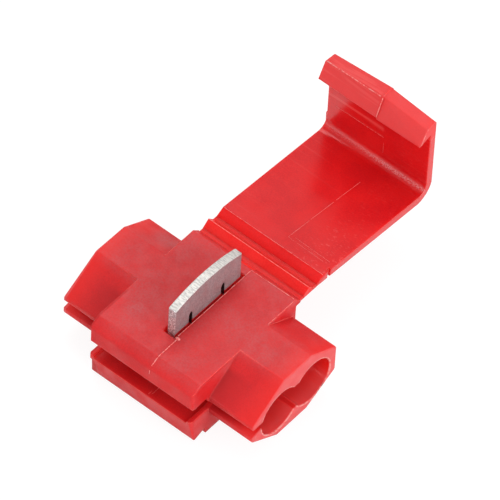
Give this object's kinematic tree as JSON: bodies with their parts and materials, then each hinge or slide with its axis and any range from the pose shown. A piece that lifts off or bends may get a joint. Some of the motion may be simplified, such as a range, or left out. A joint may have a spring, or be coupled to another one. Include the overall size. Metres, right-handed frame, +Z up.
{
  "type": "t-tap wire connector",
  "caption": "Plastic quick-splice tap connector with two wire channels, a latching cover on a double living hinge and a press-in slotted metal blade.",
  "frame": {"origin": "middle of the body's flat underside", "axes": "+X along the wires towards the open end of the tap channel, +Y from the wire entry gap towards the hinge and the open cover, +Z up, the way the blade stands"},
  "size_m": [0.0202, 0.0303, 0.0149],
  "materials": {
    "body_plastic": "translucent red polypropylene, fine satin grain",
    "hinge_plastic": "translucent red polypropylene, smooth where it flexes",
    "cover_plastic": "translucent red polypropylene, smooth inside",
    "blade_metal": "stamped brass with a grey tin plating, sheared grainy edges"
  },
  "bodies": {
    "body": {"body": "body_plastic"},
    "hinge_strip": {"hinge_strip": "hinge_plastic"},
    "cover": {"cover": "cover_plastic"},
    "contact_blade": {"contact_blade": "blade_metal"}
  },
  "joints": [
    {"name": "body_hinge", "type": "hinge", "parent": "body", "child": "hinge_strip", "pos_m": [0, 0.00635, 0.0063], "axis": [1, 0, 0], "range_deg": [0, 93]},
    {"name": "cover_hinge", "type": "hinge", "parent": "hinge_strip", "child": "cover", "pos_m": [0, 0.008, 0.0063], "axis": [1, 0, 0], "range_deg": [0, 93]},
    {"name": "blade_press", "type": "slide", "parent": "body", "child": "contact_blade", "axis": [0, 0, -1], "range_m": [0, 0.0035]}
  ],
  "couplings": [
    {"joint": "body_hinge", "follows": "blade_press", "rad_per_m": 463.75},
    {"joint": "cover_hinge", "follows": "blade_press", "rad_per_m": 463.75}
  ]
}
